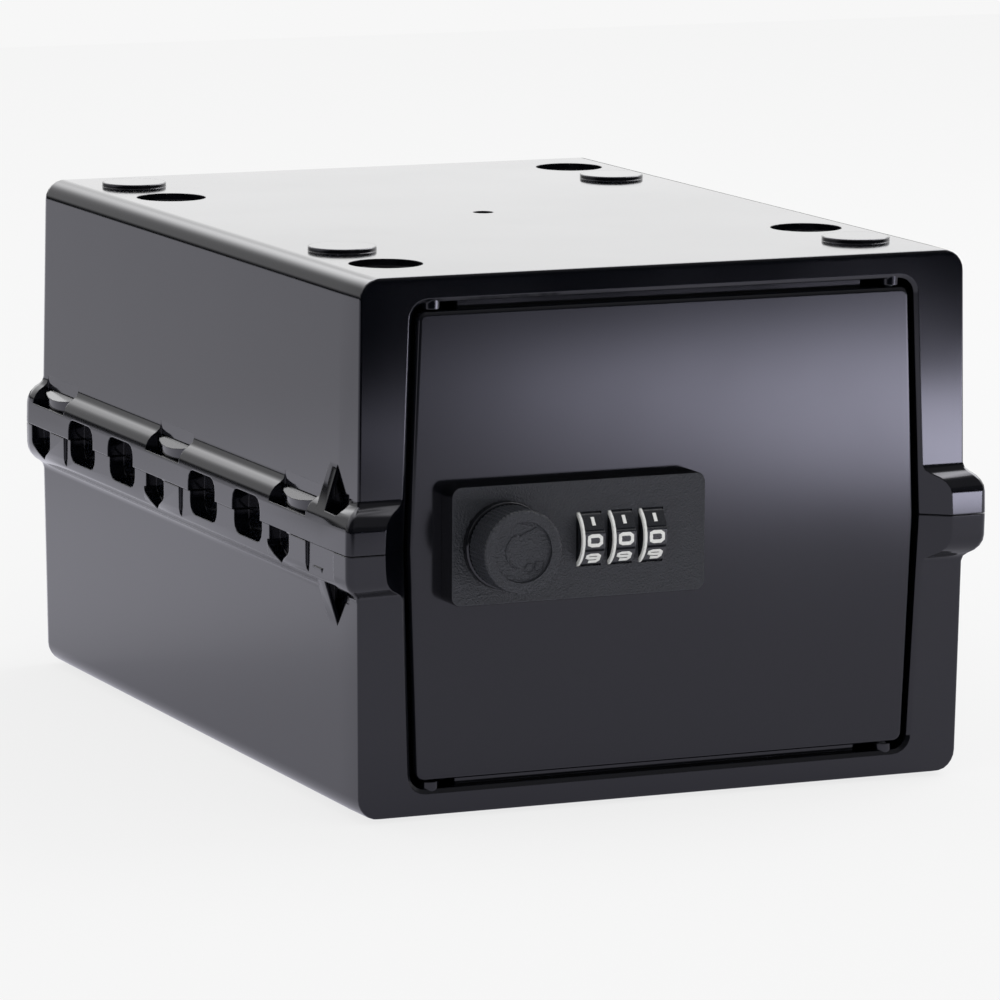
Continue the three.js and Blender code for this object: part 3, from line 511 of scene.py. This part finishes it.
# %% Works behind the door
dress("lock_housing", grained_plastic)
for node in (
    "hinge_pin_upper", "hinge_pin_lower", "lock_cam", "cam_washer", "cam_screw", "dial_axle",
    "lock_bar", "detent_spring", "code_change_lever", "lock_screw_left", "lock_screw_right",
):
    dress(node, plated_steel, 0.12, shortest_mm=0.5)
dress("lock_spindle", cast_zinc, 0.2, shortest_mm=0.8)
for number in (1, 2, 3):
    dress(f"code_sleeve_{number}", turned_brass, 0.1, shortest_mm=0.3)


# %% [markdown]
# The numbers are drawn the way an engraving cutter would cut them: a round tool follows a path.
# A picture on the wheel would be quicker, but it would blur close up and have no thickness. So
# each path is swept with a round section and pressed flat, and stands a few hundredths of a
# millimetre proud of its facet.

# %% Strokes along a path
def add_piece(name, data, material, body):
    """A smooth piece with its material, riding on a body."""
    for polygon in data.polygons:
        polygon.use_smooth = True
    data.materials.append(material)
    piece = bpy.data.objects.new(name, data)
    scene.collection.objects.link(piece)
    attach(piece, body)


def strokes(name, paths, half_width_mm, height_mm, place, material, body):
    """Flat rounded strokes along paths in millimetres, laid down at one place."""
    curve = bpy.data.curves.new(name, "CURVE")
    curve.dimensions = "3D"
    curve.bevel_depth = half_width_mm * MM
    curve.bevel_resolution = 2
    curve.use_fill_caps = True
    for path, closed in paths:
        spline = curve.splines.new("POLY")
        spline.points.add(len(path) - 1)
        for point, (across, along) in zip(spline.points, path):
            point.co = (across * MM, along * MM, 0, 1)
        spline.use_cyclic_u = closed
    drawing = bpy.data.objects.new(name, curve)
    scene.collection.objects.link(drawing)
    bpy.context.view_layer.update()
    data = bpy.data.meshes.new_from_object(drawing)
    bpy.data.objects.remove(drawing)
    flatten = Matrix.Diagonal((1, 1, height_mm / half_width_mm, 1))
    data.transform(place @ flatten)
    data.materials.clear()
    add_piece(name, data, material, body)


print("strokes are swept, then pressed flat")

# %% [markdown]
# Each figure is a path on a square from 0 to 1, stretched to the size of the print. The corners
# of a stencilled figure are cut off, so each inner corner of a path becomes two points.

# %% Figures 0 to 9
FIGURE_WIDTH_MM = 3.9
FIGURE_HEIGHT_MM = 2.8
CORNER_CUT = 0.22
LOOP = [(0, 0.5), (0, 0), (1, 0), (1, 1), (0, 1), (0, 0.5)]
SQUARE_PATHS = {
    0: [LOOP],
    1: [[(0.5, 0), (0.5, 1)]],
    2: [[(0, 1), (1, 1), (1, 0.5), (0, 0.5), (0, 0), (1, 0)]],
    3: [[(0, 1), (1, 1), (1, 0), (0, 0)], [(0.2, 0.5), (1, 0.5)]],
    4: [[(0.1, 1), (0, 0.45), (1, 0.45)], [(0.8, 1), (0.8, 0)]],
    5: [[(1, 1), (0, 1), (0, 0.5), (1, 0.5), (1, 0), (0, 0)]],
    6: [[(1, 1), (0, 1), (0, 0), (1, 0), (1, 0.5), (0, 0.5)]],
    7: [[(0, 1), (1, 1), (0.45, 0)]],
    8: [LOOP, [(0, 0.5), (1, 0.5)]],
    9: [[(1, 0.5), (0, 0.5), (0, 1), (1, 1), (1, 0), (0.2, 0)]],
}


def cut_corners(points):
    """The path with each of its inner corners replaced by two points."""
    path = [points[0]]
    for before, here, after in zip(points, points[1:], points[2:]):
        path += [
            tuple(h + (b - h) * CORNER_CUT for b, h in zip(before, here)),
            tuple(h + (a - h) * CORNER_CUT for a, h in zip(after, here)),
        ]
    return path + [points[-1]]


def to_print_size(points):
    """An open path on the square, in millimetres from the middle of the print."""
    return [((u - 0.5) * FIGURE_WIDTH_MM, (v - 0.5) * FIGURE_HEIGHT_MM) for u, v in points], False


FIGURES = {
    figure: [to_print_size(cut_corners(path)) for path in paths]
    for figure, paths in SQUARE_PATHS.items()
}
print("figures", len(FIGURES))

# %% [markdown]
# A wheel has ten facets, one for each figure. With the box at rest the wheels show 0, with 1
# above it and 9 below. The white rim takes the left edge of each wheel, so the figures stand a
# little to the right of the middle.

# %% Numbers on the wheels
FACET_RADIUS_MM = 9.4
FIGURE_SHIFT_MM = 0.45
STROKE_HALF_WIDTH_MM = 0.58
STROKE_HEIGHT_MM = 0.06
FACET_DEGREES = 360 / len(FIGURES)


def middle(node):
    """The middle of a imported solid."""
    low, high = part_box(node)
    return (Vector(low) + Vector(high)) / 2


def facet_place(centre, step):
    """The middle of a facet, with X across the wheel, Y up the facet and Z out of it."""
    angle = math.radians(FACET_DEGREES * step)
    out = Vector((0, -math.cos(angle), math.sin(angle)))
    upwards = Vector((0, math.sin(angle), math.cos(angle)))
    spot = centre + out * FACET_RADIUS_MM * MM + Vector((FIGURE_SHIFT_MM * MM, 0, 0))
    return placed(spot, (1, 0, 0), upwards, out)


for number in (1, 2, 3):
    centre = middle(f"dial_{number}")
    for figure, paths in FIGURES.items():
        strokes(
            f"wheel_{number}_figure_{figure}", paths, STROKE_HALF_WIDTH_MM, STROKE_HEIGHT_MM,
            facet_place(centre, figure), white_ink, f"wheel_{number}",
        )
    print("wheel", number, "has", len(FIGURES), "figures round", [round(v, 5) for v in centre])

# %% [markdown]
# A white band runs round the left edge of each wheel, over the edge and a little down its side.
# It is a ring with a thin section, turned round the wheel's axis like work on a lathe.

# %% White rim on the left of each wheel
WHEEL_HALF_WIDTH_MM = 3.65
RIM_SIDES = 90
RIM_CREASE_DEGREES = 50
# The section of the band: right of the wheel's left face, and out from its axis.
RIM_SECTION_MM = [
    (-0.04, 8.5), (-0.04, 9.5), (0.06, 9.6), (0.75, 9.6), (0.85, 9.5), (0.85, 9.2), (0.1, 8.5),
]


def rim(name, centre, body):
    """A white band round the wheel's left edge, with a little of its side face."""
    left = centre.x - WHEEL_HALF_WIDTH_MM * MM
    points = []
    for step in range(RIM_SIDES):
        angle = 2 * math.pi * step / RIM_SIDES
        for across, reach in RIM_SECTION_MM:
            points.append((
                left + across * MM,
                centre.y + reach * MM * math.cos(angle),
                centre.z + reach * MM * math.sin(angle),
            ))
    count = len(RIM_SECTION_MM)
    faces = [
        (
            step * count + level,
            step * count + (level + 1) % count,
            (step + 1) % RIM_SIDES * count + (level + 1) % count,
            (step + 1) % RIM_SIDES * count + level,
        )
        for step in range(RIM_SIDES) for level in range(count)
    ]
    data = bpy.data.meshes.new(name)
    data.from_pydata(points, [], faces)
    add_piece(name, data, white_ink, body)
    data.set_sharp_from_angle(angle=math.radians(RIM_CREASE_DEGREES))
    print(name, len(faces), "faces")


for number in (1, 2, 3):
    rim(f"wheel_{number}_rim", middle(f"dial_{number}"), f"wheel_{number}")

# %% [markdown]
# The sunk face of the knob has two small signs: an arrow that bends round the left from bottom to
# top, and a small ring with a flag beside it. They are raised lines in the knob's own plastic,
# drawn with the same strokes as the numbers, but with a finer tool.

# %% Signs on the knob
KNOB_RECESS_MM = 0.8
SIGN_HALF_WIDTH_MM = 0.2
SIGN_HEIGHT_MM = 0.25
ARC_STEPS = 24


def arc(centre, radius, start, stop):
    """Points along an arc between two angles in degrees."""
    turns = [math.radians(start + (stop - start) * step / ARC_STEPS) for step in range(ARC_STEPS + 1)]
    return [(centre[0] + radius * math.cos(t), centre[1] + radius * math.sin(t)) for t in turns]


bent_arrow = [
    (arc((0, 0.2), 5.2, 250, 112), False),
    ([(-1.0, 4.6), (4.3, 6.9), (-0.4, 8.4)], False),
]
ring_and_flag = [
    (arc((2.3, -4.9), 1.3, 0, 345), True),
    ([(4.0, -6.2), (6.4, -5.2), (6.9, -3.2), (4.2, -3.2)], True),
]
low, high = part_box("lock_knob")
knob_face = Vector(((low[0] + high[0]) / 2, low[1] + KNOB_RECESS_MM * MM, (low[2] + high[2]) / 2))
strokes(
    "knob_signs", bent_arrow + ring_and_flag, SIGN_HALF_WIDTH_MM, SIGN_HEIGHT_MM,
    placed(knob_face, (1, 0, 0), (0, 0, 1), (0, -1, 0)), grained_plastic, "knob",
)
print("knob signs at", [round(value, 4) for value in knob_face])


# %% [markdown]
# The studio follows what the plastic shows. Its top mirrors a bright wall behind on the right, its
# sides mirror the white floor, and its front mirrors a floor that ends in the dark about 60 cm
# away, with one strip of light lying on it to the right. Each of these fades softly at its ends,
# because a hard end would be drawn on the plastic as a line. So a level is made from soft steps,
# each along one axis.

# %% Sheets and soft levels
def sheet(name, material, place, width, length):
    """A flat rectangle that belongs to the studio."""
    data = bpy.data.meshes.new(name)
    across, along = width / 2, length / 2
    data.from_pydata(
        [(-across, -along, 0), (across, -along, 0), (across, along, 0), (-across, along, 0)],
        [], [(0, 1, 2, 3)],
    )
    data.materials.append(material)
    piece = bpy.data.objects.new(name, data)
    piece.location = place
    scene.collection.objects.link(piece)
    print(name, width, "by", length, "m at", place)
    return piece


def soft_level(tree, vector, steps):
    """A brightness by place: each step runs softly from low to high, and they are multiplied."""
    axes = add_node(tree, "ShaderNodeSeparateXYZ", None, {"Vector": vector}).outputs
    level = None
    for axis, start, stop, low, high in steps:
        step = add_node(
            tree, "ShaderNodeMapRange",
            {"From Min": start, "From Max": stop, "To Min": low, "To Max": high},
            {"Value": axes[axis]}, interpolation_type="SMOOTHERSTEP",
        ).outputs["Result"]
        if level is None:
            level = step
        else:
            level = add_node(
                tree, "ShaderNodeMath", None, {0: level, 1: step}, operation="MULTIPLY",
            ).outputs["Value"]
    return level


# %% [markdown]
# The floor is a sheet of white paper. Lit like a real one, it would need strong lamps, and they
# would show in the plastic. So it is nearly white by its own glow, both for the camera and for
# reflections, and the small share that stays paper takes the light shadow of the box. Reflections
# see it a touch cooler and brightest just behind the box. It fades away in front, where the real
# one ends.

# %% Floor
FLOOR_SIZE = 4.4
FLOOR_SEEN_GLOW = 0.85
FLOOR_MIRRORED_GLOW = 0.65
FLOOR_END = [("Y", -0.85, -0.72, 0.0, 1.0)]
FLOOR_BRIGHTNESS = [("Y", 0.0, 0.3, 0.85, 1.2), ("Y", 0.3, 0.8, 1.0, 0.6)]

floor_material, tree, place = empty_material("pale_floor")
floor_material.cycles.emission_sampling = "NONE"
ray = add_node(tree, "ShaderNodeLightPath").outputs
paper = add_node(tree, "ShaderNodeBsdfDiffuse", {"Color": linear("#f7f7f7")}).outputs["BSDF"]
seen = add_node(tree, "ShaderNodeEmission", {"Color": linear("#f7f7f7"), "Strength": 1.0})
mirrored = add_node(
    tree, "ShaderNodeEmission", {"Color": linear("#f1f0ff")},
    {"Strength": soft_level(tree, place, FLOOR_BRIGHTNESS)},
)
camera_view = add_node(
    tree, "ShaderNodeMixShader", {0: FLOOR_SEEN_GLOW}, {1: paper, 2: seen.outputs["Emission"]},
)
mirror_view = add_node(
    tree, "ShaderNodeMixShader", {0: FLOOR_MIRRORED_GLOW}, {1: paper, 2: mirrored.outputs["Emission"]},
)
plain = add_node(
    tree, "ShaderNodeMixShader", None,
    {0: ray["Is Camera Ray"], 1: paper, 2: camera_view.outputs["Shader"]},
)
whole = add_node(
    tree, "ShaderNodeMixShader", None,
    {0: ray["Is Glossy Ray"], 1: plain.outputs["Shader"], 2: mirror_view.outputs["Shader"]},
)
clear = add_node(tree, "ShaderNodeBsdfTransparent")
surface = add_node(
    tree, "ShaderNodeMixShader", None,
    {
        0: soft_level(tree, place, FLOOR_END),
        1: clear.outputs["BSDF"],
        2: whole.outputs["Shader"],
    },
)
add_node(tree, "ShaderNodeOutputMaterial", links={"Surface": surface.outputs["Shader"]})
sheet("floor", floor_material, (0, 0, 0), FLOOR_SIZE, FLOOR_SIZE)

# %% [markdown]
# The door and the frame round it show one long light that grows towards the right. A lamp that
# stands up would show in the rounded front of the top, where the photograph has none. So the
# strip lies on the floor, clear where it is dark, and only reflections see it. The satin door
# spreads it into a slow gradient.

# %% Strip of light on the floor
STRIP_PLACE = (0.53, -0.80, 0.004)
STRIP_WIDTH = 0.84
STRIP_LENGTH = 0.58
STRIP_STRENGTH = 10.5
STRIP_FADES = [
    ("X", -0.42, 0.0, 0.0, STRIP_STRENGTH), ("X", 0.25, 0.42, 1.0, 0.0),
    ("Y", -0.25, -0.09, 0.0, 1.0), ("Y", 0.1, 0.29, 1.0, 0.0),
]

strip_material, tree, place = empty_material("strip_of_light")
strip_material.cycles.emission_sampling = "NONE"
glow = add_node(
    tree, "ShaderNodeEmission", {"Color": linear("#efefff")},
    {"Strength": soft_level(tree, place, STRIP_FADES)},
)
clear = add_node(tree, "ShaderNodeBsdfTransparent")
both = add_node(
    tree, "ShaderNodeAddShader", None, {0: clear.outputs["BSDF"], 1: glow.outputs["Emission"]},
)
add_node(tree, "ShaderNodeOutputMaterial", links={"Surface": both.outputs["Shader"]})
strip = sheet("strip_of_light", strip_material, STRIP_PLACE, STRIP_WIDTH, STRIP_LENGTH)
strip.visible_camera = False
strip.visible_diffuse = False
strip.visible_shadow = False

# %% [markdown]
# The room has three faces. The camera sees a plain pale backdrop, and matt surfaces get an even
# light. Reflections see walls: dark below the horizon and in front, bright behind and to the
# right, and brighter still towards the ceiling, which draws the shine along the upper edges.

# %% World
AMBIENT_STRENGTH = 0.8
ROOM_LEVELS = [
    ("Z", -0.03, 0.1, 0.05, 1.0), ("Z", 0.28, 0.45, 1.0, 2.3),
    ("Y", -0.35, 0.4, 0.06, 1.0), ("X", -0.35, 0.15, 0.55, 1.5),
]

world = bpy.data.worlds.new("studio")
scene.world = world
world.use_nodes = True
world.cycles.sampling_method = "NONE"
tree = world.node_tree
tree.nodes.clear()
ray = add_node(tree, "ShaderNodeLightPath").outputs
way = add_node(tree, "ShaderNodeTexCoord").outputs["Generated"]
room = add_node(
    tree, "ShaderNodeBackground", {"Color": linear("#ffffff")},
    {"Strength": soft_level(tree, way, ROOM_LEVELS)},
)
ambient = add_node(
    tree, "ShaderNodeBackground", {"Color": linear("#ffffff"), "Strength": AMBIENT_STRENGTH},
)
backdrop = add_node(tree, "ShaderNodeBackground", {"Color": linear("#f7f7f7"), "Strength": 1.0})
lit = add_node(
    tree, "ShaderNodeMixShader", None,
    {
        0: ray["Is Glossy Ray"],
        1: ambient.outputs["Background"],
        2: room.outputs["Background"],
    },
)
surface = add_node(
    tree, "ShaderNodeMixShader", None,
    {0: ray["Is Camera Ray"], 1: lit.outputs["Shader"], 2: backdrop.outputs["Background"]},
)
add_node(tree, "ShaderNodeOutputWorld", links={"Surface": surface.outputs["Shader"]})
print("world", world.name, "with", len(tree.nodes), "nodes")

# %% [markdown]
# One softbox stands high on the right, a little behind the box. It gives the box its shadow, and
# its size keeps that shadow soft.

# %% Softbox
SOFTBOX_PLACE = Vector((1.3, 0.3, 1.5))
SOFTBOX_AIM = Vector((0, 0, 0.1))
SOFTBOX_SIDE = 1.1
SOFTBOX_WATTS = 14

light = bpy.data.lights.new("key_softbox", "AREA")
light.shape = "SQUARE"
light.size = SOFTBOX_SIDE
light.energy = SOFTBOX_WATTS
lamp = bpy.data.objects.new("key_softbox", light)
lamp.location = SOFTBOX_PLACE
lamp.rotation_euler = (SOFTBOX_AIM - SOFTBOX_PLACE).to_track_quat("-Z", "Y").to_euler()
scene.collection.objects.link(lamp)
print("softbox", SOFTBOX_SIDE, "m wide,", SOFTBOX_WATTS, "W")
